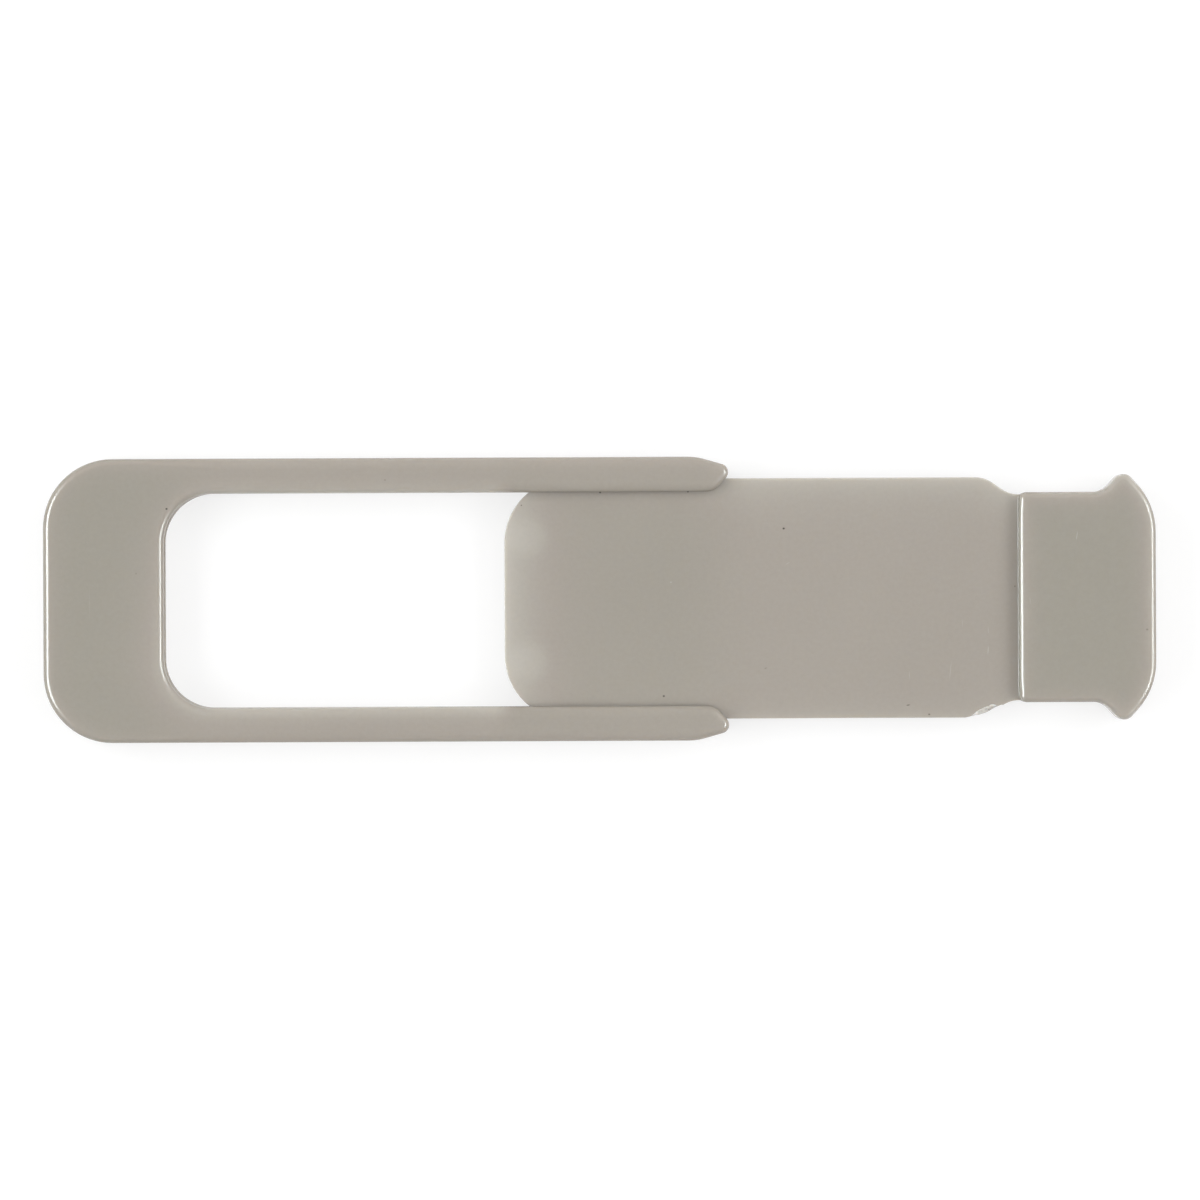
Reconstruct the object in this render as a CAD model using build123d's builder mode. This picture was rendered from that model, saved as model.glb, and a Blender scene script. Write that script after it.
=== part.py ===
# Stick-on webcam cover: a U-shaped frame, the shutter that slides in it, and its adhesive tape.
# Millimetres. X runs along the slide, Y across the two arms, Z away from the screen it is stuck to.
# The origin lies on the bonding plane, under the middle of the cover as it stands open.
import os
from math import cos, hypot, radians, sin, tan

from build123d import *

# Frame
frame_length = 30.66         # closed end to the arm noses
frame_width = 12.7           # over both arms
bar_width = 5.4              # closed end of the U, outside edge to window
arm_width = 1.55             # each arm, seen from above
upper_lip = 0.55             # plastic above the slot
lower_lip = 0.55             # plastic below the slot
outer_wall = 0.7             # arm wall beside the widest part of the slot
pocket_depth = 2.22          # how far the slot runs into the bar
outer_corner_radius = 3.0
window_corner_radius = 2.2
frame_edge_radius = 0.28     # rounding of the upper edges
underside_edge_radius = 0.1

# Arm ends
tip_taper_length = 1.43      # from the nose back to where the outer edge turns in
tip_taper_angle = 16.0
tip_taper_land = 0.84        # straight left on the leaning edge, between its curve and the nose
nose_land = 0.1              # what the nose radius has over the edge rounding
heel_radius = 0.6            # inner corner of the arm end
flank_angle = 48.0           # slope of the arm ends and of the horns that meet them

# Slider
plate_thickness = 0.8
plate_edge_radius = 0.08
tail_radius = 2.85           # corners of the plate's hidden end
shoulder_angle = 35.0        # slope of the step from plate to neck
shoulder_radius = 1.33
shoulder_setback = 0.33      # neck left straight before the grip
neck_inset = 0.09            # neck edge inside the grip's edge
grip_length = 6.2
grip_rise = 0.7              # grip top above the plate
grip_edge_radius = 0.28
grip_corner_land = 0.04      # what the grip's corner radius has over its edge rounding
horn_reach = 0.79            # horn tips beyond the grip's sides
horn_setback = 1.44          # horn tips to the grip's free end
horn_tip_radius = 0.53
horn_root_radius = 1.05      # hollow between the grip's side and a horn
horn_side_land = 0.34        # straight left on a horn's outer side, between its tip and the end's curve
slide_travel = 17.3          # closed to open

# Stop lugs and moulding marks
lug_height = 0.2             # beyond the plate's edge
lug_length = 0.8
lug_ramp = 0.4               # lead-in for snapping the slider in
lug_from_tail = 3.4
pin_mark_diameter = 1.6      # ejector-pin marks under the plate's tail
pin_mark_depth = 0.15
pin_mark_from_tail = 1.05
pin_mark_from_edge = 2.6
scar_length = 1.25           # torn gate scar on one shoulder
scar_reach = 0.42            # on the upper face, in from the edge
scar_depth = 0.5             # on the edge, down from the upper face

# Tape
tape_thickness = 0.2
tape_inset = 0.25            # tape edge inside the frame's outline

# Clearances
plate_play = 0.05            # above and below the plate in the slot
side_play = 0.07             # beside the plate and its lugs
grip_play = 0.1              # beside the grip, between the arms
tail_gap = 0.15              # plate's tail to the pocket's end, closed
closed_gap = 0.15            # horns to arm ends along X, closed
open_gap = 0.05              # lugs to their stops, open
grip_ground_gap = 0.25       # grip above the bonding plane

# Heights
frame_floor = tape_thickness
slot_floor = frame_floor + lower_lip
slot_height = plate_thickness + 2 * plate_play
frame_thickness = lower_lip + slot_height + upper_lip
plate_floor = slot_floor + plate_play
plate_top = plate_floor + plate_thickness
grip_top = plate_top + grip_rise

# Half-widths, from the centreline outwards
frame_half = frame_width / 2
window_half = frame_half - arm_width
lug_slot_half = frame_half - outer_wall
slot_half = lug_slot_half - lug_height
plate_half = slot_half - side_play
grip_half = window_half - grip_play
neck_half = grip_half - neck_inset
horn_half = grip_half + horn_reach

# Arm end: a round nose between the leaning outer edge and the sloped end face.
# Measured back from the nose along X, and in from the arm's outer edge along Y.
nose_radius = frame_edge_radius + nose_land
taper_slope = tan(radians(tip_taper_angle))
flank_run = 1 / tan(radians(flank_angle))
nose_centre_in = taper_slope * (tip_taper_length - nose_radius) + nose_radius * hypot(1, taper_slope)
end_face_reach = flank_run * nose_centre_in + nose_radius * (hypot(1, flank_run) - 1)
nose_in = taper_slope * (end_face_reach + tip_taper_length) / (1 + taper_slope * flank_run)
nose_ahead = end_face_reach - flank_run * nose_in
heel_back = flank_run * arm_width - end_face_reach
nose_turn = radians(180 - flank_angle - tip_taper_angle)
tip_side = hypot(tip_taper_length + nose_ahead, nose_in)
nose_tangent = nose_radius * tan(nose_turn / 2)
tip_taper_radius = (tip_side - nose_tangent - tip_taper_land) / tan(radians(tip_taper_angle) / 2)

# Horns: both sides of a horn have the flank's slope, and its tip is rounded
horn_point_half = horn_half + horn_tip_radius * (1 / cos(radians(flank_angle)) - 1)
horn_root_to_point = flank_run * (horn_point_half - grip_half)
horn_root_to_end = horn_root_to_point + horn_setback
end_corner_half = horn_point_half - horn_setback / flank_run
horn_side = horn_setback / cos(radians(flank_angle))
horn_tip_tangent = horn_tip_radius * tan(radians(flank_angle))
end_corner_radius = (horn_side - horn_tip_tangent - horn_side_land) / tan(radians(90 - flank_angle) / 2)

# Places along X, from the frame's closed end to the slider's free end
closed_root_back = heel_back - closed_gap + flank_run * grip_play
overall_length = frame_length - closed_root_back + slide_travel + horn_root_to_end
frame_left = -overall_length / 2
window_left = frame_left + bar_width
nose_x = frame_left + frame_length
heel_x = nose_x - heel_back
pocket_end = window_left - pocket_depth
tail_x = pocket_end + tail_gap + slide_travel
slider_end = overall_length / 2
grip_left = slider_end - grip_length
horn_root_x = slider_end - horn_root_to_end
horn_point_x = slider_end - horn_setback
neck_x = grip_left - shoulder_setback
shoulder_x = neck_x - (plate_half - neck_half) / tan(radians(shoulder_angle))
lug_x = tail_x + lug_from_tail
stop_x = lug_x + lug_length + open_gap


# Closed outline, symmetrical about X, from the corners of its +Y half and their radii
def symmetrical_outline(corners, radii):
    mirrored = [(x, -y) for x, y in reversed(corners)]
    FilletPolyline(*corners, *mirrored, radius=radii + radii[::-1], close=True)


frame_corners = [
    (frame_left, frame_half),
    (nose_x - tip_taper_length, frame_half),
    (nose_x + nose_ahead, frame_half - nose_in),
    (heel_x, window_half),
    (window_left, window_half),
]
frame_radii = [outer_corner_radius, tip_taper_radius, nose_radius, heel_radius, window_corner_radius]

slot_corners = [
    (pocket_end, lug_slot_half),
    (stop_x, lug_slot_half),
    (stop_x, slot_half),
    (nose_x + nose_ahead, slot_half),
]
slot_radii = [tail_radius, 0, 0, 0]

plate_corners = [
    (tail_x, plate_half),
    (shoulder_x, plate_half),
    (neck_x, neck_half),
    (grip_left + grip_edge_radius, neck_half),
]
plate_radii = [tail_radius, shoulder_radius, shoulder_radius, 0]

grip_corners = [
    (grip_left, grip_half),
    (horn_root_x, grip_half),
    (horn_point_x, horn_point_half),
    (slider_end, end_corner_half),
]
grip_radii = [grip_edge_radius + grip_corner_land, horn_root_radius, horn_tip_radius, end_corner_radius]

# Frame: the U, rounded above, with the slot cut through its arms and into its bar
with BuildPart() as frame:
    with BuildSketch(Plane.XY.offset(frame_floor)):
        with BuildLine():
            symmetrical_outline(frame_corners, frame_radii)
        make_face()
    extrude(amount=frame_thickness)
    fillet(frame.edges().group_by(Axis.Z)[-1], frame_edge_radius)
    fillet(frame.edges().group_by(Axis.Z)[0], underside_edge_radius)
    with BuildSketch(Plane.XY.offset(slot_floor)):
        with BuildLine():
            symmetrical_outline(slot_corners, slot_radii)
        make_face()
    extrude(amount=slot_height, mode=Mode.SUBTRACT)

# Grip: the raised finger piece, made by itself so that all its edges can be rounded
with BuildPart() as grip:
    with BuildSketch(Plane.XY.offset(grip_ground_gap)):
        with BuildLine():
            symmetrical_outline(grip_corners, grip_radii)
        make_face()
    extrude(amount=grip_top - grip_ground_gap)
    fillet(grip.edges().group_by(Axis.Z)[-1], grip_edge_radius)
    fillet(grip.edges().group_by(Axis.Z)[0], underside_edge_radius)

# Gate scar: a plane across the shoulder's corner, x outwards from the edge and y up
scar_lean = radians(shoulder_angle / 2)
scar_plane = Plane(
    origin=(shoulder_x, -plate_half, plate_top),
    x_dir=(sin(scar_lean), -cos(scar_lean), 0),
    z_dir=(-cos(scar_lean), -sin(scar_lean), 0),
)

# Slider: thin plate with stop lugs, and the raised grip moulded onto its neck
with BuildPart() as slider:
    with BuildSketch(Plane.XY.offset(plate_floor)):
        with BuildLine():
            symmetrical_outline(plate_corners, plate_radii)
        make_face()
    extrude(amount=plate_thickness)
    fillet(slider.edges().group_by(Axis.Z)[-1], plate_edge_radius)
    fillet(slider.edges().group_by(Axis.Z)[0], plate_edge_radius)
    with BuildSketch(Plane.XY.offset(plate_floor + plate_edge_radius)):
        with BuildLine():
            Polyline(
                (lug_x, plate_half - lug_height),
                (lug_x, plate_half),
                (lug_x + lug_ramp, plate_half + lug_height),
                (lug_x + lug_length, plate_half + lug_height),
                (lug_x + lug_length, plate_half - lug_height),
                close=True,
            )
        make_face()
        mirror(about=Plane.XZ)
    extrude(amount=plate_thickness - 2 * plate_edge_radius)
    with BuildSketch(Plane.XY.offset(plate_floor)):
        with Locations((tail_x + pin_mark_from_tail, 0)):
            with GridLocations(0, 2 * (plate_half - pin_mark_from_edge), 1, 2):
                Circle(pin_mark_diameter / 2)
    extrude(amount=pin_mark_depth, mode=Mode.SUBTRACT)
    with BuildSketch(scar_plane):
        with BuildLine():
            Polyline((-scar_reach, 0), (scar_reach, 0), (scar_reach, -2 * scar_depth), close=True)
        make_face()
    extrude(amount=scar_length / 2, both=True, mode=Mode.SUBTRACT)
    add(grip.part)

# Tape: die-cut to the frame's back, a little inside its outline
with BuildPart() as adhesive_tape:
    with BuildSketch():
        with BuildLine():
            symmetrical_outline(frame_corners, frame_radii)
        make_face()
        offset(amount=-tape_inset)
    extrude(amount=tape_thickness)

os.makedirs("parts", exist_ok=True)
frame.part.label = "frame"
slider.part.label = "slider"
adhesive_tape.part.label = "adhesive_tape"
export_step(frame.part, "parts/frame.step")
export_step(slider.part, "parts/slider.step")
export_step(adhesive_tape.part, "parts/adhesive_tape.step")
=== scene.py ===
from math import atan2, cos, hypot, pi, radians, sin, tan

import bmesh
import bpy
import numpy as np
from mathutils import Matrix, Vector, geometry, noise


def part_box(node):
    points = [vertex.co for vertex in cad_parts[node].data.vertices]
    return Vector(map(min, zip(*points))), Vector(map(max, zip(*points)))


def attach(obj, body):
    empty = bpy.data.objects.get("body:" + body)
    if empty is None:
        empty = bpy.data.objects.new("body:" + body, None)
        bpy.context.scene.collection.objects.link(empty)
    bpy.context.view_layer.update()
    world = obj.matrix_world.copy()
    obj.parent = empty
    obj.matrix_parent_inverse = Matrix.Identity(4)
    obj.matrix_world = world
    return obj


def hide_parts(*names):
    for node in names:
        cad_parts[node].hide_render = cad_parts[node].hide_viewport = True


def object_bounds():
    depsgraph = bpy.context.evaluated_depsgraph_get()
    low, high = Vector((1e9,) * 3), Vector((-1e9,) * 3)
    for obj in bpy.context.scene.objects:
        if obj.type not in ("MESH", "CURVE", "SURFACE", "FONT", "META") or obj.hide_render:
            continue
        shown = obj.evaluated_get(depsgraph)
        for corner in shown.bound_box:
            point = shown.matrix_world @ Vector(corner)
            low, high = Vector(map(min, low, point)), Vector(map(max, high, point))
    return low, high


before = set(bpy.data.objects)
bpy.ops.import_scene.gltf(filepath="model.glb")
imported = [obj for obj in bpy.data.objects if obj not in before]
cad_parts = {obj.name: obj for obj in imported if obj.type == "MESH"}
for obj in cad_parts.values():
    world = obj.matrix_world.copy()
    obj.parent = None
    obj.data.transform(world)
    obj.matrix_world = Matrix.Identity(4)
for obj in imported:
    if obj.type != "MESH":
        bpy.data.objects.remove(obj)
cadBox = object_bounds()
mm = 0.001
frameLow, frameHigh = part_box("frame")
sliderLow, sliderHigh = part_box("slider")
tapeLow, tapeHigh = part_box("adhesive_tape")
print("frame loaded:", sorted(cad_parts))


# outlines run clockwise seen from above, so outside is on their left

def roundedPath(corners, closed=True, arcStep=radians(5), fewestSteps=3):
    points = []  # corners are (x, y, radius)
    for i, (x, y, radius) in enumerate(corners):
        here = Vector((x, y))
        if radius == 0 or (not closed and i in (0, len(corners) - 1)):
            points.append(here)
            continue
        back = (Vector(corners[i - 1][:2]) - here).normalized()
        ahead = (Vector(corners[(i + 1) % len(corners)][:2]) - here).normalized()
        half = back.angle(ahead) / 2
        turn = (pi - 2 * half) * (1 if back.cross(ahead) < 0 else -1)
        centre = here + (back + ahead).normalized() * radius / sin(half)
        spoke = here + back * radius / tan(half) - centre
        steps = max(fewestSteps, round(abs(turn) / arcStep))
        for k in range(steps + 1):
            c, s = cos(turn * k / steps), sin(turn * k / steps)
            points.append(centre + Vector((spoke.x * c - spoke.y * s, spoke.x * s + spoke.y * c)))
    return points


def acrossCentre(corners):
    return [(x, -y, radius) for x, y, radius in reversed(corners)]


def mirroredPath(halfCorners):
    return roundedPath(halfCorners + acrossCentre(halfCorners))


def spacedPath(points, spacing, closed=True):
    made = []  # straight runs get points at most a spacing apart, which may depend on the place
    for i, a in enumerate(points):
        made.append(a)
        if i + 1 < len(points) or closed:
            b = points[(i + 1) % len(points)]
            step = spacing((a + b) / 2) if callable(spacing) else spacing
            parts = int((b - a).length / step) + 1
            made += [a.lerp(b, k / parts) for k in range(1, parts)]
    return made


def outwardNormals(points, closed=True):
    normals = []
    for i, p in enumerate(points):
        sides = []
        if closed or i:
            sides.append((p - points[i - 1]).normalized())
        if closed or i + 1 < len(points):
            sides.append((points[(i + 1) % len(points)] - p).normalized())
        way = sum(sides, Vector((0, 0))).normalized()
        normals.append(Vector((-way.y, way.x)))
    return normals


def addCrossings(points, normals, level, zone):
    # puts a point where the loop crosses y = +level and -level in the zone
    made, madeNormals, found = [], [], []
    for i, a in enumerate(points):
        k = (i + 1) % len(points)
        b = points[k]
        made.append(a)
        madeNormals.append(normals[i])
        for y in (level, -level):
            if zone(a) and zone(b) and (a.y - y) * (b.y - y) < 0:
                part = (y - a.y) / (b.y - a.y)
                found.append(len(made))
                made.append(a.lerp(b, part))
                madeNormals.append(normals[i].lerp(normals[k], part).normalized())
    return made, madeNormals, found


def edgeDistance(places, path, closed=True):
    a = np.array([tuple(p) for p in path])  # distance of each place to the nearest point of a path
    b = np.roll(a, -1, axis=0)
    if not closed:
        a, b = a[:-1], b[:-1]
    shortest = 1e-9  # keeps a run of no length from dividing by zero
    best = np.full(len(places), np.inf)
    for start, run in zip(a, b - a):
        t = np.clip((places - start) @ run / max(run @ run, shortest ** 2), 0, 1)
        best = np.minimum(best, np.linalg.norm(places - start - t[:, None] * run, axis=1))
    return best


def ramp(values, low, high):
    return np.clip((values - low) / (high - low), 0, 1)


def between(pair, share):
    return pair[0] + (pair[1] - pair[0]) * share


def isInside(places, loop):
    odd = np.zeros(len(places), bool)
    x, y = places[:, 0], places[:, 1]
    for a, b in zip(loop, loop[1:] + loop[:1]):
        if a[1] != b[1]:
            odd ^= ((a[1] > y) != (b[1] > y)) & (x < (b[0] - a[0]) * (y - a[1]) / (b[1] - a[1]) + a[0])
    return odd


# meshes are rings of vertices, strips between them and flat fillings

def newShell():
    bm = bmesh.new()
    bm.verts.layers.float_vector.new("roundNormal")
    bm.verts.layers.float.new("scar")
    return bm


def addRing(bm, points, normals, shift, z, tilt=0.0):
    layer = bm.verts.layers.float_vector["roundNormal"]  # tilt lifts the shading normal off the wall
    ring = []
    for i, (p, n) in enumerate(zip(points, normals)):
        inward = shift[i] if isinstance(shift, list) else shift
        height = z[i] if isinstance(z, list) else z
        lean = tilt[i] if isinstance(tilt, list) else tilt
        vert = bm.verts.new((p.x - n.x * inward, p.y - n.y * inward, height))
        vert[layer] = (n.x * cos(lean), n.y * cos(lean), sin(lean))
        ring.append(vert)
    return ring


def addStrip(bm, lower, upper, closed=True, smooth=True):
    for i in range(len(lower) - (0 if closed else 1)):
        k = (i + 1) % len(lower)
        bm.faces.new((lower[i], upper[i], upper[k], lower[k])).smooth = smooth


def addStrips(bm, rings, closed=True):
    for lower, upper in zip(rings, rings[1:]):
        addStrip(bm, lower, upper, closed)


def fillFlat(bm, edgeVerts, up, spacing, holes=()):
    # a flat face of small triangles, so that the shader can follow its edges
    z = edgeVerts[0].co.z
    edgeRoom = 0.6 * spacing / mm  # inner points keep this far from the edges
    insideOnly, tolerance = 1, 1e-6
    loops = [edgeVerts, *holes]
    outlines = [[(v.co.x / mm, v.co.y / mm) for v in loop] for loop in loops]
    low, high = np.min(outlines[0], axis=0), np.max(outlines[0], axis=0)
    gridX = np.arange(low[0], high[0], spacing / mm)
    gridY = np.arange(low[1], high[1], spacing / mm)
    grid = np.array([(x, y) for y in gridY for x in gridX])
    keep = isInside(grid, outlines[0])
    for outline in outlines:
        keep &= edgeDistance(grid, outline) > edgeRoom
    for hole in outlines[1:]:
        keep &= ~isInside(grid, hole)
    known = [v for loop in loops for v in loop]
    places = [Vector(p) for outline in outlines for p in outline] + [Vector(p) for p in grid[keep]]
    rims, start = [], 0
    for loop in loops:
        rims.append(list(range(start, start + len(loop))))
        start += len(loop)
    holeEdges = [(rim[i - 1], rim[i]) for rim in rims[1:] for i in range(len(rim))]
    made = geometry.delaunay_2d_cdt(places, holeEdges, rims[:1], insideOnly, tolerance)
    verts = []
    for co, source in zip(made[0], made[3]):
        if source and source[0] < len(known):
            verts.append(known[source[0]])
        else:
            verts.append(bm.verts.new((co.x * mm, co.y * mm, z)))
    for face in made[2]:
        centre = sum((made[0][k] for k in face), Vector((0, 0))) / len(face)
        if any(isInside(np.array([tuple(centre)]), hole)[0] for hole in outlines[1:]):
            continue
        a, b, c = (made[0][k] for k in face[:3])
        order = face if ((b - a).cross(c - a) > 0) == up else face[::-1]
        bm.faces.new([verts[k] for k in order]).smooth = False


def roundOver(radius, top, steps=3):
    # (shift, z, tilt) at each step up a quarter round to the top face
    turns = [pi / 2 * k / steps for k in range(steps + 1)]
    return [(radius * (1 - cos(a)), top - radius * (1 - sin(a)), a) for a in turns]


def softOver(widths, heights, top, steps):
    levels = []  # the same for an oval edge, its width and height given for each point
    for k in range(steps + 1):
        a = pi / 2 * k / steps
        shifts = [w * (1 - cos(a)) for w in widths]
        rises = [top - h * (1 - sin(a)) for h in heights]
        levels.append((shifts, rises, [atan2(w * sin(a), h * cos(a)) for w, h in zip(widths, heights)]))
    return levels


def roundUnder(radius, floor, steps=3):
    # and at each step up a quarter round from the underside
    turns = [pi / 2 * k / steps for k in range(steps + 1)]
    return [(radius * (1 - sin(a)), floor + radius * (1 - cos(a)), a - pi / 2) for a in turns]


def finishShell(bm, name, body, node, material, paintedGlow):
    mesh = bpy.data.meshes.new(name)
    bm.to_mesh(mesh)
    bm.free()
    rounded = np.zeros(len(mesh.vertices) * 3)
    mesh.attributes["roundNormal"].data.foreach_get("vector", rounded)
    rounded = rounded.reshape(-1, 3)
    normals = [(0.0, 0.0, 0.0)] * len(mesh.loops)
    for face in mesh.polygons:
        for k in face.loop_indices:
            exact = rounded[mesh.loops[k].vertex_index]
            normals[k] = tuple(exact) if face.use_smooth and exact.any() else tuple(face.normal)
    mesh.normals_split_custom_set(normals)
    mesh.attributes.remove(mesh.attributes["roundNormal"])
    places = np.array([v.co for v in mesh.vertices])
    # painted glow per vertex: light painted into the plastic's colour
    mesh.attributes.new("paintedGlow", "FLOAT", "POINT").data.foreach_set("value", paintedGlow(places))
    mesh.materials.append(material)
    piece = bpy.data.objects.new(name, mesh)
    bpy.context.scene.collection.objects.link(piece)
    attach(piece, body)
    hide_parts(node)
    print(name, "made:", len(mesh.vertices), "vertices,", len(mesh.polygons), "faces")


# shader nodes

def newGroup(name, inputs, outputs):
    group = bpy.data.node_groups.new(name, "ShaderNodeTree")
    for label, kind, value in inputs:
        socket = group.interface.new_socket(label, in_out="INPUT", socket_type="NodeSocket" + kind)
        socket.default_value = value
    for label, kind in outputs:
        group.interface.new_socket(label, in_out="OUTPUT", socket_type="NodeSocket" + kind)
    return group, group.nodes.new("NodeGroupInput"), group.nodes.new("NodeGroupOutput")


def feed(tree, socket, value):
    if isinstance(value, bpy.types.NodeSocket):
        tree.links.new(value, socket)
    else:
        socket.default_value = value


def mathNode(tree, operation, *values):
    node = tree.nodes.new("ShaderNodeMath")
    node.operation = operation
    for socket, value in zip(node.inputs, values):
        feed(tree, socket, value)
    return node.outputs[0]


def mixColor(tree, factor, a, b, blend="MIX"):
    node = tree.nodes.new("ShaderNodeMix")
    node.data_type = "RGBA"
    node.blend_type = blend
    colorSockets = (node.inputs[0], node.inputs[6], node.inputs[7])  # the rest are for other kinds of value
    for socket, value in zip(colorSockets, (factor, a, b)):
        feed(tree, socket, value)
    return node.outputs[2]


def noiseNode(tree, vector, scale, detail=2.0, roughness=0.5):
    node = tree.nodes.new("ShaderNodeTexNoise")
    node.inputs["Scale"].default_value = scale
    node.inputs["Detail"].default_value = detail
    node.inputs["Roughness"].default_value = roughness
    tree.links.new(vector, node.inputs["Vector"])
    return node.outputs[0]


def mapNode(tree, value, low, high, interpolation="LINEAR"):
    node = tree.nodes.new("ShaderNodeMapRange")  # low gives 0 and high gives 1, clamped
    node.interpolation_type = interpolation
    node.inputs["From Min"].default_value = low
    node.inputs["From Max"].default_value = high
    tree.links.new(value, node.inputs["Value"])
    return node.outputs[0]


skinDetail = {
    "driftScale": 140.0,        # noise scales, per metre
    "rippleScale": 900.0,
    "grainScale": 5000.0,
    "grainRoughness": 0.6,
    "faintGlowEnd": 0.2,            # a little painted glow is pinkish, more of it whitish
    "rippleGloss": 0.08,
    "rippleHeight": 0.22,
    "grainHeight": 0.35,
}


def mouldedSkinGroup():
    # satin moulded plastic: slow tone drift, a soft ripple and a fine grain
    s = skinDetail
    tree, given, out = newGroup(
        "mouldedSkin",
        [("Tone", "Color", (0.4, 0.4, 0.4, 1)), ("Faint Glow Tone", "Color", (0.4, 0.4, 0.4, 1)),
         ("Glow Tone", "Color", (0.5, 0.5, 0.5, 1)), ("Painted Glow", "Float", 0.0), ("Gloss", "Float", 0.25),
         ("Drift", "Float", 0.05), ("Grain", "Float", 0.05)],
        [("Color", "Color"), ("Roughness", "Float"), ("Height", "Float")],
    )
    place = tree.nodes.new("ShaderNodeTexCoord").outputs["Object"]
    drift = noiseNode(tree, place, s["driftScale"])
    ripple = noiseNode(tree, place, s["rippleScale"], detail=1.0)
    grain = noiseNode(tree, place, s["grainScale"], roughness=s["grainRoughness"])
    # painted glow: the tone is drawn pinkish, then whitish, where light is painted into the colour
    faintGlow = mapNode(tree, given.outputs["Painted Glow"], 0.0, s["faintGlowEnd"])
    fullGlow = mapNode(tree, given.outputs["Painted Glow"], s["faintGlowEnd"], 1.0)
    tone = mixColor(tree, faintGlow, given.outputs["Tone"], given.outputs["Faint Glow Tone"])
    tone = mixColor(tree, fullGlow, tone, given.outputs["Glow Tone"])
    shade = mathNode(tree, "MULTIPLY", mathNode(tree, "SUBTRACT", drift, 0.5), given.outputs["Drift"])
    speckle = mathNode(tree, "MULTIPLY", mathNode(tree, "SUBTRACT", grain, 0.5), given.outputs["Grain"])
    factor = mathNode(tree, "ADD", mathNode(tree, "ADD", shade, speckle), 1.0)
    grey = tree.nodes.new("ShaderNodeCombineColor")
    for socket in grey.inputs[:3]:
        tree.links.new(factor, socket)
    tree.links.new(mixColor(tree, 1.0, tone, grey.outputs[0], "MULTIPLY"), out.inputs["Color"])
    rough = mathNode(tree, "MULTIPLY", mathNode(tree, "SUBTRACT", ripple, 0.5), s["rippleGloss"])
    tree.links.new(mathNode(tree, "ADD", rough, given.outputs["Gloss"]), out.inputs["Roughness"])
    soft = mathNode(tree, "MULTIPLY", ripple, s["rippleHeight"])
    fine = mathNode(tree, "MULTIPLY", grain, s["grainHeight"])
    tree.links.new(mathNode(tree, "ADD", soft, fine), out.inputs["Height"])
    return tree


markDetail = {
    "core": 0.4,                # share of a mark's half-size that has its full strength
    "leastRise": 0.3,           # marks lie only on faces that look up more than this
}


def surfaceMarkGroup():
    # one speck or scratch on an upward face, placed by its centre
    tree, given, out = newGroup(
        "surfaceMark",
        [("X", "Float", 0.0), ("Y", "Float", 0.0), ("Length", "Float", 1.0), ("Width", "Float", 1.0),
         ("Angle", "Float", 0.0), ("Strength", "Float", 1.0)],
        [("Mask", "Float")],
    )
    coords = tree.nodes.new("ShaderNodeTexCoord")
    place = tree.nodes.new("ShaderNodeSeparateXYZ")
    tree.links.new(coords.outputs["Object"], place.inputs[0])
    dx = mathNode(tree, "SUBTRACT", place.outputs["X"], given.outputs["X"])
    dy = mathNode(tree, "SUBTRACT", place.outputs["Y"], given.outputs["Y"])
    c = mathNode(tree, "COSINE", given.outputs["Angle"])
    s = mathNode(tree, "SINE", given.outputs["Angle"])
    along = mathNode(tree, "ADD", mathNode(tree, "MULTIPLY", dx, c), mathNode(tree, "MULTIPLY", dy, s))
    back = mathNode(tree, "MULTIPLY", dx, s)
    across = mathNode(tree, "SUBTRACT", mathNode(tree, "MULTIPLY", dy, c), back)
    u = mathNode(tree, "DIVIDE", along, mathNode(tree, "MULTIPLY", given.outputs["Length"], 0.5))
    v = mathNode(tree, "DIVIDE", across, mathNode(tree, "MULTIPLY", given.outputs["Width"], 0.5))
    square = mathNode(tree, "ADD", mathNode(tree, "POWER", u, 2.0), mathNode(tree, "POWER", v, 2.0))
    soft = mapNode(tree, mathNode(tree, "SQRT", square), 1.0, markDetail["core"], "SMOOTHSTEP")
    facing = tree.nodes.new("ShaderNodeSeparateXYZ")
    tree.links.new(coords.outputs["Normal"], facing.inputs[0])
    upward = mathNode(tree, "GREATER_THAN", facing.outputs["Z"], markDetail["leastRise"])
    shown = mathNode(tree, "MULTIPLY", soft, mathNode(tree, "MULTIPLY", upward, given.outputs["Strength"]))
    tree.links.new(shown, out.inputs["Mask"])
    return tree


mouldedSkin = mouldedSkinGroup()
surfaceMark = surfaceMarkGroup()
print("shader groups made")


def addMarks(tree, marks):
    total = None  # marks are (x, y, length, width, angle, strength), in millimetres and degrees
    for x, y, length, width, angle, strength in marks:
        node = tree.nodes.new("ShaderNodeGroup")
        node.node_tree = surfaceMark
        values = (x * mm, y * mm, length * mm, width * mm, radians(angle), strength)
        for socket, value in zip(node.inputs, values):
            socket.default_value = value
        total = node.outputs[0] if total is None else mathNode(tree, "MAXIMUM", total, node.outputs[0])
    return total


def addBump(tree, height, s):
    bump = tree.nodes.new("ShaderNodeBump")
    bump.inputs["Strength"].default_value = s["bump"]
    bump.inputs["Distance"].default_value = s["bumpDepth"]
    tree.links.new(height, bump.inputs["Height"])
    tree.links.new(bump.outputs[0], tree.nodes["Principled BSDF"].inputs["Normal"])


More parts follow.
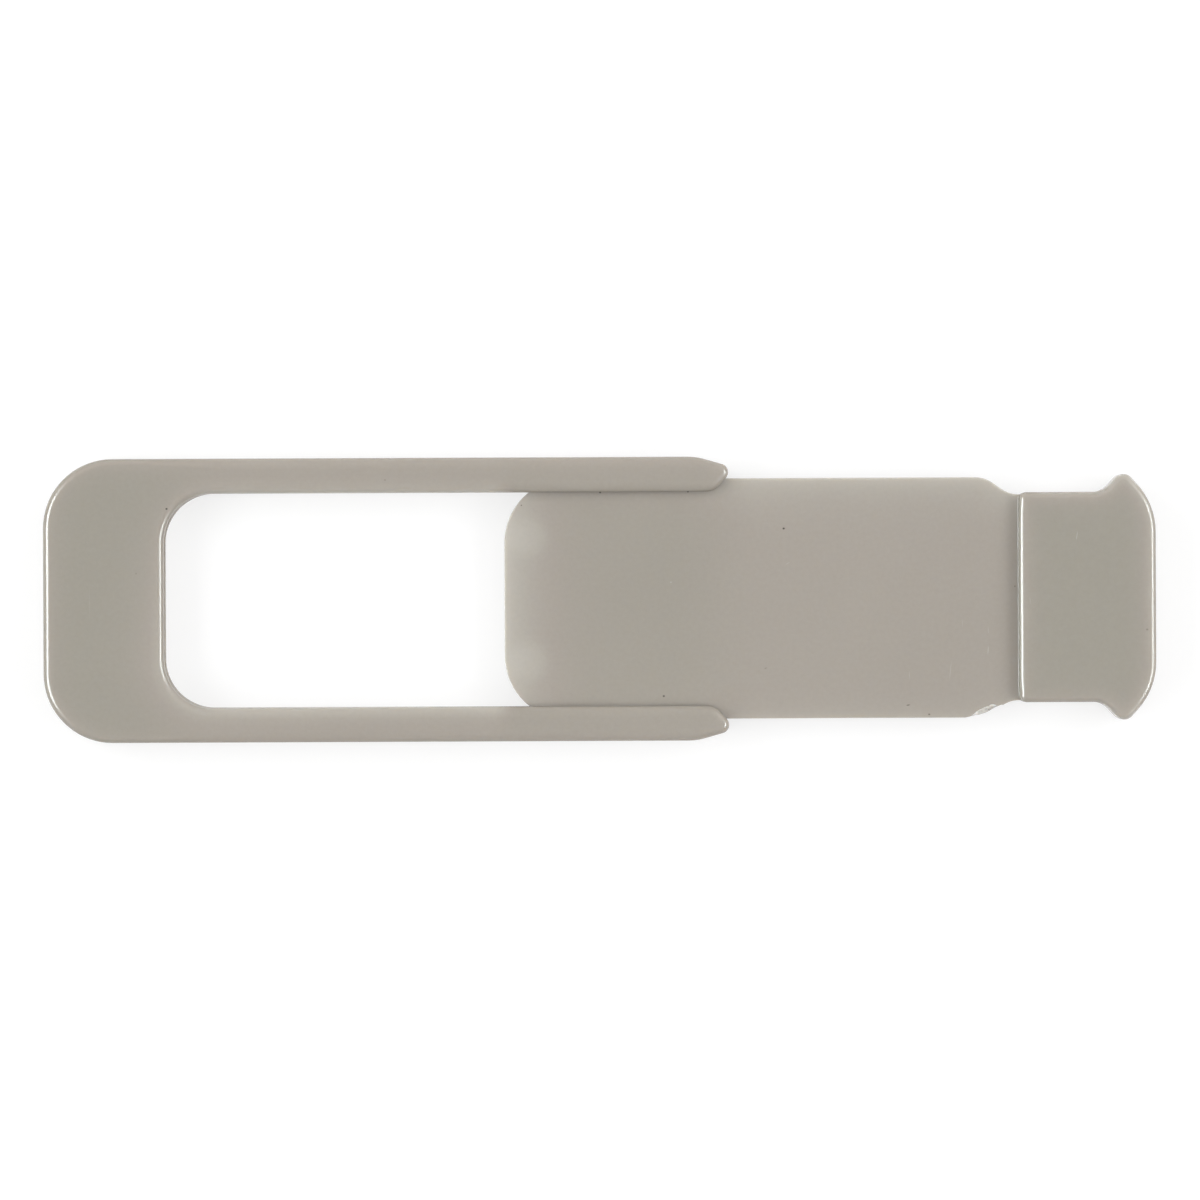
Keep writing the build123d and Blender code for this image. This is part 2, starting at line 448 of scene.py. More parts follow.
def plasticMaterial(name, s):
    material = bpy.data.materials.new(name)
    material.use_nodes = True
    tree = material.node_tree
    shader = tree.nodes["Principled BSDF"]
    # the painted glow attribute: light painted into the colour at each vertex
    glowAttribute = tree.nodes.new("ShaderNodeAttribute")
    glowAttribute.attribute_name = "paintedGlow"
    skin = tree.nodes.new("ShaderNodeGroup")
    skin.node_tree = mouldedSkin
    skin.inputs["Tone"].default_value = (*s["tone"], 1)
    skin.inputs["Faint Glow Tone"].default_value = (*s["faintGlowTone"], 1)
    skin.inputs["Glow Tone"].default_value = (*s["glowTone"], 1)
    skin.inputs["Gloss"].default_value = s["roughness"]
    skin.inputs["Drift"].default_value = s["drift"]
    skin.inputs["Grain"].default_value = s["grain"]
    tree.links.new(glowAttribute.outputs["Fac"], skin.inputs["Painted Glow"])
    color, rough = skin.outputs["Color"], skin.outputs["Roughness"]
    color = mixColor(tree, addMarks(tree, s["scratches"]), color, (*s["scratchTone"], 1))
    color = mixColor(tree, addMarks(tree, s["specks"]), color, (*s["speckTone"], 1))
    if "scarTone" in s:
        torn = tree.nodes.new("ShaderNodeAttribute")
        torn.attribute_name = "scar"
        color = mixColor(tree, torn.outputs["Fac"], color, (*s["scarTone"], 1))
        rougher = mathNode(tree, "MULTIPLY", torn.outputs["Fac"], s["scarRoughness"])
        rough = mathNode(tree, "ADD", rough, rougher)
    tree.links.new(color, shader.inputs["Base Color"])
    tree.links.new(rough, shader.inputs["Roughness"])
    addBump(tree, skin.outputs["Height"], s)
    shader.inputs["IOR"].default_value = s["ior"]
    shader.inputs["Subsurface Weight"].default_value = s["translucence"]
    shader.inputs["Subsurface Radius"].default_value = s["scatter"]
    shader.inputs["Subsurface Scale"].default_value = s["scatterDepth"]
    return material


# frame: the U, its rounded edges, the slot in its arms and the pocket in its bar

frameShape = {
    "barWidth": 5.4 * mm,
    "armWidth": 1.55 * mm,
    "outerCorner": 3.1 * mm,
    "windowCorner": 2.2 * mm,
    "edgeRound": 0.28 * mm,
    "endEdge": 0.345 * mm,      # fuller along the closed end
    "armEdge": 0.50 * mm,       # how far the rounding reaches in over the arms, and over their noses
    "noseEdge": 0.35 * mm,
    "undersideRound": 0.1 * mm,
    "tipTaper": 1.43 * mm,      # from the nose back to where the outer edge turns in
    "tipLean": tan(radians(16)),
    "tipTaperRound": 2.57 * mm,
    "noseRound": 0.38 * mm,
    "heelRound": 0.75 * mm,
    "flankRun": 1 / tan(radians(48)),  # slope of the arm ends and of the horns that meet them
    "lip": 0.55 * mm,           # plastic above and below the slot
    "slotWall": 0.7 * mm,
    "pocketDepth": 2.22 * mm,
    "lugHeight": 0.2 * mm,
    "sidePlay": 0.07 * mm,
    "lugFromTail": 3.4 * mm,
    "lugLength": 0.8 * mm,
    "lugRamp": 0.4 * mm,
    "openGap": 0.05 * mm,
    "tailCorner": 2.85 * mm,
    "armStart": (-1 * mm, 3 * mm),  # the bar turns into the arms here, from the window's end
    "noseStart": (-1.6 * mm, -0.6 * mm),  # and the arms into their noses, from the noses' ends
    "edgeSteps": 10,
    "pointSpacing": 0.3 * mm,
    "faceGrid": 0.22 * mm,      # triangle sizes above, below and in the slot
    "backGrid": 0.5 * mm,
    "slotGrid": 0.6 * mm,
    "armPaintedGlow": 0.12,        # painted glow, as from light through the slim arms
    # painted glow along the outer top edges, drawn as lit
    "edgePaintedGlow": 0.18,
    "endPaintedGlow": 0.36,        # the same along the closed end
    "armShare": (0.5, 1.0),     # how much of the painted edge glow the -Y and the +Y arm have, drawn as lit from +Y
    "edgeReach": 0.4 * mm,
    "windowGlow": (0.09, 0.38),  # painted glow at the window edges, as from light through the window, on the +Y and the -Y arm
    "glowReach": 0.5 * mm,
    "barGlow": 1.5,             # stronger and wider on the bar
    "barGlowReach": 0.85 * mm,
    "rimGlow": (0.55, 0.30),    # painted glow on the window's very edge, on the +Y and the -Y arm
    "rimReach": 0.22 * mm,
    "glowFade": 0.4 * mm,       # the painted glow ends over this length where the plate fills the window
    "flatBand": (-0.15 * mm, -0.02 * mm),  # heights where the bar's painted glow sets in, from the top
}

frameFinish = {
    "tone": (0.339, 0.319, 0.273),
    # the next two colours are those of the painted glow, faint and full
    "faintGlowTone": (0.379, 0.346, 0.305),
    "glowTone": (0.55, 0.53, 0.48),
    "scratchTone": (0.50, 0.47, 0.43),
    "speckTone": (0.06, 0.055, 0.05),
    "roughness": 0.21,
    "drift": 0.06,
    "grain": 0.09,
    "bump": 0.14,
    "bumpDepth": 0.004 * mm,
    "ior": 1.5,
    "translucence": 0.8,
    "scatter": (1.0, 0.9, 0.75),
    "scatterDepth": 0.6 * mm,
    "specks": [
        (-19.33, 4.11, 0.13, 0.12, 0, 0.9),
        (-20.70, 1.22, 0.12, 0.1, 0, 0.2),
        (-9.56, 5.36, 0.12, 0.1, 0, 0.3),
        (5.60, -5.71, 0.1, 0.1, 0, 0.8),
    ],
    "scratches": [(-22.79, -0.13, 0.05, 1.9, 0, 0.12)],
}

lugSlotHalf = frameHigh.y - frameShape["slotWall"]
slotHalf = lugSlotHalf - frameShape["lugHeight"]
plateHalf = slotHalf - frameShape["sidePlay"]
windowHalf = frameHigh.y - frameShape["armWidth"]
windowLeft = frameLow.x + frameShape["barWidth"]
armStart = [windowLeft + x for x in frameShape["armStart"]]
lugLeft = sliderLow.x + frameShape["lugFromTail"]


def frameOutline():
    s = frameShape
    lean, flank = s["tipLean"], s["flankRun"]
    noseCentreIn = lean * (s["tipTaper"] - s["noseRound"]) + s["noseRound"] * hypot(1, lean)
    reach = flank * noseCentreIn + s["noseRound"] * (hypot(1, flank) - 1)
    noseIn = lean * (reach + s["tipTaper"]) / (1 + lean * flank)
    return mirroredPath([
        (frameLow.x, frameHigh.y, s["outerCorner"]),
        (frameHigh.x - s["tipTaper"], frameHigh.y, s["tipTaperRound"]),
        (frameHigh.x + reach - flank * noseIn, frameHigh.y - noseIn, s["noseRound"]),
        (frameHigh.x + reach - flank * s["armWidth"], windowHalf, s["heelRound"]),
        (windowLeft, windowHalf, s["windowCorner"]),
    ])


def closedEnd(x):
    corner = frameShape["outerCorner"]  # 1 along the closed end, 0 past its corners
    return ramp(x, frameLow.x + corner, frameLow.x + corner / 3)


def frameEdges(loop):
    s = frameShape  # oval roundings of the upper edges, by where they are along the frame
    along = np.array([p.x for p in loop])
    heights = s["edgeRound"] + (s["endEdge"] - s["edgeRound"]) * closedEnd(along)
    widths = heights + (s["armEdge"] - s["edgeRound"]) * ramp(along, *armStart)
    noses = ramp(along, *[frameHigh.x + x for x in s["noseStart"]])
    widths -= (s["armEdge"] - s["noseEdge"]) * noses
    return softOver(list(widths), list(heights), frameHigh.z, s["edgeSteps"])


def slotWall(mouthTop, mouthBottom):
    s = frameShape
    stopLeft = lugLeft + s["lugLength"] + s["openGap"]
    pocketEnd = windowLeft - s["pocketDepth"]
    half = [(stopLeft, slotHalf, 0), (stopLeft, lugSlotHalf, 0), (pocketEnd, lugSlotHalf, s["tailCorner"])]
    return roundedPath([(*mouthTop, 0), *half, *acrossCentre(half), (*mouthBottom, 0)], closed=False)


def framePaintedGlow(places, outerEdge, windowEdge):
    # painted light: paler colour for light through the slim arms and the window, and for light falling from
    # +Y
    s = frameShape
    x, y, z = places.T
    outer = edgeDistance(places[:, :2], outerEdge, closed=False)
    inner = edgeDistance(places[:, :2], windowEdge, closed=False)
    slim = ramp(x, *armStart)  # the arms, not the bar
    clear = ramp(x, sliderLow.x + s["glowFade"], sliderLow.x - s["glowFade"])  # painted glow only beside the open window
    side = ramp(y, windowHalf, -windowHalf)
    glow = between(s["windowGlow"], side) * between((s["barGlow"], 1), slim)
    glow *= np.exp(-inner / between((s["barGlowReach"], s["glowReach"]), slim))
    rim = slim * between(s["rimGlow"], side) * np.exp(-inner / s["rimReach"])
    flat = np.maximum(slim, ramp(z, *[frameHigh.z + band for band in s["flatBand"]]))
    lit = np.maximum(between(s["armShare"], ramp(y, -frameHigh.y, frameHigh.y)), 1 - slim)
    atEnd = np.maximum(closedEnd(x), (1 - slim) * ramp(y, 0, frameHigh.y))  # and the bar's +Y side
    edge = between((s["edgePaintedGlow"], s["endPaintedGlow"]), atEnd) * lit * np.exp(-outer / s["edgeReach"])
    return s["armPaintedGlow"] * slim + rim * clear + (glow * clear + edge) * flat


def buildFrame(material):
    s = frameShape
    loop = spacedPath(frameOutline(), s["pointSpacing"])
    armEnd = frameHigh.x - s["armWidth"]
    loop, normals, mouths = addCrossings(loop, outwardNormals(loop), slotHalf, lambda p: p.x > armEnd)
    mouthTop, mouthBottom = mouths
    bm = newShell()
    below = [addRing(bm, loop, normals, *level) for level in roundUnder(s["undersideRound"], frameLow.z)]
    slotFloor = addRing(bm, loop, normals, 0.0, frameLow.z + s["lip"])
    slotRoof = addRing(bm, loop, normals, 0.0, frameHigh.z - s["lip"])
    above = [addRing(bm, loop, normals, *level) for level in frameEdges(loop)]
    addStrips(bm, below + [slotFloor])
    addStrips(bm, [slotRoof] + above)
    outside = list(range(mouthBottom, len(loop))) + list(range(mouthTop + 1))
    addStrip(bm, [slotFloor[i] for i in outside], [slotRoof[i] for i in outside], closed=False)
    wall = slotWall(loop[mouthTop], loop[mouthBottom])
    wallNormals = outwardNormals(wall, closed=False)
    wallRings = []
    for ring in (slotFloor, slotRoof):
        inner = addRing(bm, wall[1:-1], wallNormals[1:-1], 0.0, ring[0].co.z)
        wallRings.append([ring[mouthTop], *inner, ring[mouthBottom]])
    addStrip(bm, *wallRings, closed=False, smooth=False)
    for ring, wallRing, up in zip((slotFloor, slotRoof), wallRings, (True, False)):
        fillFlat(bm, ring[mouthTop:mouthBottom + 1] + wallRing[-2:0:-1], up, s["slotGrid"])
    fillFlat(bm, below[0], False, s["backGrid"])
    fillFlat(bm, above[-1], True, s["faceGrid"])
    outerEdge = loop[mouthBottom:] + loop[:mouthTop + 1]
    windowEdge = loop[mouthTop:mouthBottom + 1]
    finishShell(bm, "frame_moulding", "frame_body", "frame", material,
                lambda places: framePaintedGlow(places, outerEdge, windowEdge))


buildFrame(plasticMaterial("framePlastic", frameFinish))


# slider: thin plate, neck and raised grip

sliderShape = {
    "plateThickness": 0.8 * mm,
    "platePlay": 0.05 * mm,
    "plateEdge": 0.025 * mm,
    "shoulderSlope": tan(radians(35)),
    "shoulderRound": 1.33 * mm,
    "neckRun": 0.42 * mm,
    "neckInset": 0.09 * mm,
    "joinEase": 0.2 * mm,       # the plate's edges turn sharp over this length before the grip
    "gripPlay": 0.1 * mm,
    "gripLength": 6.11 * mm,
    "gripEdge": 0.28 * mm,
    "gripFrontEdge": 0.50 * mm,  # reaches further in where the finger pushes, and less far down
    "gripFrontDrop": 0.22 * mm,
    "gripFrontEase": 0.6 * mm,  # the front's edge turns into the sides' over this length
    "gripFrontFacing": 0.99,    # a wall is the front where its normal has more than this of -X
    "gripSteps": 8,
    "gripCorner": 0.32 * mm,
    "gripUnderEdge": 0.1 * mm,
    "footHollow": 0.06 * mm,    # where the grip's front rises from the plate
    "footEase": 0.3 * mm,       # runs out over this length at the neck's edges
    "footSteps": 4,
    "footRise": 0.01 * mm,      # what is higher than this above the plate is shaded as grip
    "hornReach": 0.79 * mm,
    "hornSetback": 1.44 * mm,
    "hornTip": 0.46 * mm,
    "hornRoot": 1.05 * mm,
    "endCorner": 3.19 * mm,
    "pinMark": 1.6 * mm,        # ejector-pin marks under the tail
    "pinMarkDepth": 0.15 * mm,
    "pinMarkDraft": 0.05 * mm,
    "pinMarkFromTail": 1.05 * mm,
    "pinMarkFromEdge": 2.6 * mm,
    "pinMarkSides": 40,
    "pointSpacing": 0.3 * mm,
    "plateSpacing": 0.25 * mm,
    "faceGrid": 0.25 * mm,      # triangle sizes above, below and in the pin marks
    "backGrid": 0.5 * mm,
    "pinGrid": 0.3 * mm,
    "platePaintedGlow": (0.075, 0.18),  # painted glow, as from light through the thin plate, more so clear of the arms
    "plateClear": (-2.4 * mm, 1.2 * mm),  # where it gets clear of them, from the arms' noses
    # painted glow at the tail, as from light under it
    "tailPaintedGlow": 0.72,
    "tailReach": 1.25 * mm,
    "pinGlow": 0.2,             # painted glow, stronger over the thinner pin marks
    "pinSoftness": 0.14 * mm,
    "sideGlow": (0.38, 0.16),   # painted glow on the plate edges at +Y and -Y, drawn as lit from +Y
    "sideReach": 0.6 * mm,
    "sheen": 0.12,              # painted sheen, fading in slowly from the +Y edge
    "sheenReach": 2 * mm,
    "gripGlow": (0.46, 0.26),   # painted glow on the grip edges at +Y and -Y
    "gripReach": 0.4 * mm,
    "gripEndGlow": 0.45,        # and more along its free end
    "gripEndReach": 0.27 * mm,
    "gripEndStart": (-2.5 * mm, -1 * mm),
    "gripSides": (2.6 * mm, 2.1 * mm),  # where the grip's side walls get the painted glow too, from its middle
    "flatBand": (-0.15 * mm, -0.02 * mm),  # heights where the other walls' painted glow sets in, from the top
}

gateScar = {                    # torn off one shoulder
    "length": 1.15 * mm,
    "shift": 0.12 * mm,         # from the shoulder's corner towards the neck
    "reach": 0.37 * mm,
    "depth": 0.34 * mm,
    "bow": 0.35,                # power of the curve that its outline follows
    "trim": 0.13 * mm,          # cut back through the whole thickness
    "trimLength": 1.65 * mm,
    "trimBow": 0.45,
    "brim": 0.012 * mm,         # keeps its white off the plate
    "spacing": 0.03 * mm,
    "steps": 8,
    "noiseScale": (6, 2),       # along the edge and up the facet
    "noiseSlice": 0.5,
    "roughDepth": 0.15,
    "flakeFrom": 0.25,          # a flake is left on past here, below this part of the facet
    "flakeTop": 0.75,
    "flakeReach": 0.5,
    "flakeWhite": 0.05,
    "white": 0.5,
    "roughWhite": 0.2,
    "endWhite": 0.8,            # more towards the ends, from this far along
    "endFrom": 0.6,
}

sliderFinish = {
    **frameFinish,
    "scarTone": (0.95, 0.93, 0.88),
    "scarRoughness": 0.2,       # added to the skin's
    "specks": [
        (8.26, 3.12, 0.14, 0.12, 0, 0.95),
        (2.86, -4.36, 0.13, 0.12, 0, 0.8),
        (0.05, 4.77, 0.12, 0.1, 0, 0.8),
        (3.98, 4.79, 0.12, 0.1, 0, 0.8),
        (-3.48, 4.21, 0.09, 0.09, 0, 0.6),
        (7.43, -3.13, 0.16, 0.06, 20, 0.3),
        (13.80, -4.81, 0.22, 0.08, 10, 0.6),
        (14.74, -5.23, 0.13, 0.1, 0, 0.7),
        (24.46, -1.47, 0.14, 0.12, 0, 0.35),
        (17.29, -5.01, 0.16, 0.1, 40, 0.7),
        (18.60, 0.49, 0.08, 0.10, 0, 0.5),
    ],
    "scratches": [
        (3.20, 0.74, 0.12, 0.07, 0, 0.6),
        (8.43, 1.56, 0.3, 0.05, 30, 0.4),
        (13.86, -3.47, 0.05, 0.5, 5, 0.35),
        (15.70, -3.26, 0.05, 1.0, -6, 0.4),
        (17.39, -2.37, 0.05, 0.5, -4, 0.65),
        (17.40, -1.48, 0.05, 0.4, 3, 0.35),
        (16.24, -1.17, 0.04, 0.5, 0, 0.3),
        (21.34, 2.74, 0.05, 0.5, -8, 0.6),
        (19.24, -0.15, 0.05, 0.4, 5, 0.35),
    ],
}

gripHalf = windowHalf - sliderShape["gripPlay"]
neckHalf = gripHalf - sliderShape["neckInset"]
gripLeft = sliderHigh.x - sliderShape["gripLength"]
neckLeft = gripLeft - sliderShape["neckRun"]
shoulderLeft = neckLeft - (plateHalf - neckHalf) / sliderShape["shoulderSlope"]
plateFloor = frameLow.z + frameShape["lip"] + sliderShape["platePlay"]
plateTop = plateFloor + sliderShape["plateThickness"]
scarCentre = Vector((shoulderLeft, -plateHalf))
pinLeft = sliderLow.x + sliderShape["pinMarkFromTail"]
pinHalf = plateHalf - sliderShape["pinMarkFromEdge"]
pinCentres = [Vector((pinLeft, pinHalf)), Vector((pinLeft, -pinHalf))]


def gripOutline():
    s = sliderShape
    flank = frameShape["flankRun"]
    pointHalf = gripHalf + s["hornReach"] + s["hornTip"] * (hypot(1, 1 / flank) - 1)
    pointLeft = sliderHigh.x - s["hornSetback"]
    return mirroredPath([
        (gripLeft, gripHalf, s["gripCorner"]),
        (pointLeft - flank * (pointHalf - gripHalf), gripHalf, s["hornRoot"]),
        (pointLeft, pointHalf, s["hornTip"]),
        (sliderHigh.x, pointHalf - s["hornSetback"] / flank, s["endCorner"]),
    ])


def plateOutline(joinPoint):
    s = sliderShape  # open towards the grip, from its -Y side round the tail to its +Y side
    lugRight = lugLeft + frameShape["lugLength"]
    lugTop = plateHalf + frameShape["lugHeight"]
    upperEdge = [
        (sliderLow.x, plateHalf, frameShape["tailCorner"]),
        (lugLeft, plateHalf, 0),
        (lugLeft + frameShape["lugRamp"], lugTop, 0),
        (lugRight, lugTop, 0),
        (lugRight, plateHalf, 0),
        (shoulderLeft, plateHalf, s["shoulderRound"]),
        (neckLeft, neckHalf, s["shoulderRound"]),
        (*joinPoint, 0),
    ]

    def spacing(place):
        nearScar = (place - scarCentre).length < gateScar["length"]
        return gateScar["spacing"] if nearScar else s["plateSpacing"]

    return spacedPath(roundedPath(acrossCentre(upperEdge) + upperEdge, closed=False), spacing, closed=False)


def plateLevels():
    edge, steps = sliderShape["plateEdge"], gateScar["steps"]  # the steps are up the torn facet
    facet = [(0.0, plateTop - gateScar["depth"] * (1 - k / steps), 0.0) for k in range(steps - 1)]
    return roundUnder(edge, plateFloor) + facet + roundOver(edge, plateTop)


def tornGate(offset, rise):
    # how far the edge is torn back and how white it is, at an offset along it and 0 to 1 up the torn facet
    s = gateScar
    trim = s["trim"] * max(0.0, 1 - (2 * offset / s["trimLength"]) ** 2) ** s["trimBow"]
    along = 2 * offset / s["length"]
    if abs(along) >= 1 or rise <= 0:
        return trim, 0.0
    edgeScale, riseScale = s["noiseScale"]
    rough = noise.noise(Vector((edgeScale * along, riseScale * rise, s["noiseSlice"])))
    facet = (s["reach"] - s["trim"]) * (1 - along ** 2) ** s["bow"] * rise * (1 + s["roughDepth"] * rough)
    if along > s["flakeFrom"] and rise < s["flakeTop"]:
        return trim + s["flakeReach"] * facet, s["flakeWhite"]
    ends = max(0.0, abs(along) - s["endFrom"]) / (1 - s["endFrom"])
    return trim + facet, min(1.0, s["white"] + s["roughWhite"] * rough + s["endWhite"] * ends)


def gripEdges(grip, normals):
    s = sliderShape  # oval roundings of the upper edges, wider and lower along the front
    straightHalf = gripHalf - s["gripCorner"]
    widths, heights = [], []
    for p, n in zip(grip, normals):
        facesFront = -n.x > s["gripFrontFacing"]
        front = ramp(straightHalf - abs(p.y), 0, s["gripFrontEase"]) if facesFront else 0.0
        widths.append(between((s["gripEdge"], s["gripFrontEdge"]), front))
        heights.append(between((s["gripEdge"], s["gripFrontDrop"]), front))
    return softOver(widths, heights, sliderHigh.z, s["gripSteps"])


def addFoot(bm, line, normals):
    s = sliderShape  # rings up the hollow at the foot of the grip's front
    steps = s["footSteps"]
    hollows = [s["footHollow"] * min(1.0, (neckHalf - abs(p.y)) / s["footEase"]) for p in line]
    rings = []
    for k in range(steps + 1):
        a = pi / 2 * k / steps
        shifts = [-r * (1 - sin(a)) for r in hollows]
        rises = [plateTop + r * (1 - cos(a)) for r in hollows]
        rings.append(addRing(bm, line, normals, shifts, rises, pi / 2 - a))
    return rings


def addPlate(bm, plate, normals, levels, ends):
    # rings up the plate's edge, torn back at the scar, each between its two end vertices on the grip
    scar = bm.verts.layers.float["scar"]
    gone = [0.0]
    for a, b in zip(plate, plate[1:]):
        gone.append(gone[-1] + (b - a).length)
    corner = min(range(len(plate)), key=lambda i: (plate[i] - scarCentre).length)
    middle = gone[corner] - gateScar["shift"]
    rings = []
    for (shift, z, tilt), (bottomEnd, topEnd) in zip(levels, ends):
        rise = 1 - (plateTop - z) / gateScar["depth"]
        shifts, torn = [], []
        for p, run in zip(plate[1:-1], gone[1:-1]):
            ease = ramp(gripLeft - p.x, 0, sliderShape["joinEase"])
            tear, white = tornGate(middle - run, rise)
            shifts.append(max(shift * ease, tear))
            torn.append(white if tear > shift else 0.0)
        inner = addRing(bm, plate[1:-1], normals[1:-1], shifts, z, tilt)
        for vert, white in zip(inner, torn):
            vert[scar] = white
        rings.append([bottomEnd, *inner, topEnd])
    addStrips(bm, rings, closed=False)
    for face in bm.faces:
        if any(vert[scar] > 0 for vert in face.verts):
            face.smooth = False
    return rings


def addBrim(bm, rim, normals):
    # a narrow strip inside the scar's upper edge
    scar = bm.verts.layers.float["scar"]
    torn = [i for i, vert in enumerate(rim) if vert[scar] > 0]
    first, last = torn[0], torn[-1]
    inner = list(rim)
    for i in torn:
        n = normals[i]
        inner[i] = bm.verts.new(rim[i].co - Vector((n.x, n.y, 0)) * gateScar["brim"])
    addStrip(bm, rim[first:last + 1], inner[first:last + 1], closed=False, smooth=False)
    bm.faces.new((rim[first - 1], inner[first], rim[first])).smooth = False
    bm.faces.new((rim[last], inner[last], rim[last + 1])).smooth = False
    return inner


def addPinMark(bm, centre):
    s = sliderShape
    turns = [2 * pi * k / s["pinMarkSides"] for k in range(s["pinMarkSides"])]
    circle = [centre + Vector((cos(a), sin(a))) * s["pinMark"] / 2 for a in turns]
    inwards = [Vector((-cos(a), -sin(a))) for a in turns]
    mouth = addRing(bm, circle, inwards, 0.0, plateFloor)
    roof = addRing(bm, circle, inwards, -s["pinMarkDraft"], plateFloor + s["pinMarkDepth"])
    addStrip(bm, mouth, roof, smooth=False)
    fillFlat(bm, roof, False, s["pinGrid"])
    return mouth


def sliderPaintedGlow(places, plate, grip):
    # painted light: paler colour for light through the thin plate, at its tail and pin marks, and for light
    # falling from +Y
    s = sliderShape
    x, y, z = places.T
    onGrip = (x > gripLeft) | (z > plateTop + s["footRise"])
    plateDepth = edgeDistance(places[:, :2], plate, closed=False)
    edgeGlow = np.where(y > 0, *s["sideGlow"]) * np.exp(-plateDepth / s["sideReach"])
    tailGlow = s["tailPaintedGlow"] * np.exp(-(x - sliderLow.x) / s["tailReach"])
    clear = ramp(x, *[frameHigh.x + place for place in s["plateClear"]])
    plateGlow = between(s["platePaintedGlow"], clear) + np.maximum(edgeGlow, tailGlow)
    plateGlow += s["sheen"] * clear * np.exp((y - plateHalf) / s["sheenReach"])
    for mark in pinCentres:
        away = np.linalg.norm(places[:, :2] - np.array(mark), axis=1)
        plateGlow += s["pinGlow"] / (1 + np.exp((away - s["pinMark"] / 2) / s["pinSoftness"]))
    gripDepth = edgeDistance(places[:, :2], grip)
    gripGlow = between(s["gripGlow"], ramp(y, gripHalf, -gripHalf)) * np.exp(-gripDepth / s["gripReach"])
    atEnd = ramp(x, *[sliderHigh.x + place for place in s["gripEndStart"]])
    gripGlow += s["gripEndGlow"] * atEnd * np.exp(-gripDepth / s["gripEndReach"])
    sides = ramp(np.abs(x - (gripLeft + sliderHigh.x) / 2), *s["gripSides"])
    flat = np.maximum(sides, ramp(z, *[sliderHigh.z + band for band in s["flatBand"]]))
    return np.where(onGrip, flat * gripGlow, np.minimum(plateGlow, 1.0))


def buildSlider(material):
    s = sliderShape
    grip = spacedPath(gripOutline(), s["pointSpacing"])
    frontEnd = gripLeft + s["gripCorner"]
    grip, gripNormals, joins = addCrossings(grip, outwardNormals(grip), neckHalf, lambda p: p.x < frontEnd)
    joinTop, joinBottom = joins
    plate = plateOutline(grip[joinTop])
    plateNormals = outwardNormals(plate, closed=False)
    levels = plateLevels()

    # the grip's walls, whole below the plate and open to it at the front
    bm = newShell()
    underside = roundUnder(s["gripUnderEdge"], sliderLow.z)
    below = [addRing(bm, grip, gripNormals, *level) for level in underside]
    joint = [addRing(bm, grip, gripNormals, 0.0, levels[0][1])]
    addStrips(bm, below + joint)
    rightSide = range(joinTop, joinBottom + 1)
    rightLine, rightNormals = [grip[i] for i in rightSide], [gripNormals[i] for i in rightSide]
    for shift, z, tilt in levels[1:]:
        joint.append(dict(zip(rightSide, addRing(bm, rightLine, rightNormals, 0.0, z))))
    addStrips(bm, [[ring[i] for i in rightSide] for ring in joint], closed=False)
    leftSide = list(range(joinBottom + 1, len(grip))) + list(range(joinTop))
    foot = addFoot(bm, [grip[i] for i in leftSide], [gripNormals[i] for i in leftSide])
    bottomJoint, topJoint = joint[-1][joinBottom], joint[-1][joinTop]
    for lower, upper in zip(foot, foot[1:]):
        addStrip(bm, lower, upper, closed=False)
        bm.faces.new((bottomJoint, upper[0], lower[0]))
        bm.faces.new((lower[-1], upper[-1], topJoint))
    wallFoot = {**joint[-1], **dict(zip(leftSide, foot[-1]))}
    above = [addRing(bm, grip, gripNormals, *level) for level in gripEdges(grip, gripNormals)]
    addStrips(bm, [[wallFoot[i] for i in range(len(grip))]] + above)

    # the plate, and the flat faces
    ends = [(ring[joinBottom], ring[joinTop]) for ring in joint]
    rings = addPlate(bm, plate, plateNormals, levels, ends)
    plateRim = addBrim(bm, rings[-1], plateNormals)
    fillFlat(bm, plateRim + foot[0][::-1], True, s["faceGrid"])
    pinMarks = [addPinMark(bm, centre) for centre in pinCentres]
    fillFlat(bm, rings[0] + [joint[0][i] for i in reversed(leftSide)], False, s["backGrid"], pinMarks)
    fillFlat(bm, below[0], False, s["backGrid"])
    fillFlat(bm, above[-1], True, s["faceGrid"])
    finishShell(bm, "slider_moulding", "slider_body", "slider", material,
                lambda places: sliderPaintedGlow(places, plate, grip))


buildSlider(plasticMaterial("sliderPlastic", sliderFinish))


# tape: die-cut to the frame's back

tapeShape = {
    "inset": 0.25 * mm,
    "edge": 0.03 * mm,
    "edgeSteps": 2,
    "pointSpacing": 0.4 * mm,
    "grid": 0.5 * mm,
}

tapeFinish = {
    "tone": (0.78, 0.77, 0.73),
    "cloudShade": 0.86,
    "cloudScale": 500.0,        # noise scales, per metre
    "fibreScale": 5200.0,
    "fibreRoughness": 0.65,
    "roughness": 0.38,
    "roughnessSpread": 0.2,
    "bump": 0.3,
    "bumpDepth": 0.01 * mm,
}


def tapeMaterial(name, s):
    material = bpy.data.materials.new(name)
    material.use_nodes = True
    tree = material.node_tree
    shader = tree.nodes["Principled BSDF"]
    place = tree.nodes.new("ShaderNodeTexCoord").outputs["Object"]
    fibre = noiseNode(tree, place, s["fibreScale"], detail=3.0, roughness=s["fibreRoughness"])
    cloud = noiseNode(tree, place, s["cloudScale"])
    darker = tuple(s["cloudShade"] * c for c in s["tone"])
    tree.links.new(mixColor(tree, cloud, (*darker, 1), (*s["tone"], 1)), shader.inputs["Base Color"])
    spread = mathNode(tree, "MULTIPLY", fibre, s["roughnessSpread"])
    rough = mathNode(tree, "ADD", spread, s["roughness"] - s["roughnessSpread"] / 2)
    tree.links.new(rough, shader.inputs["Roughness"])
    addBump(tree, fibre, s)
    return material


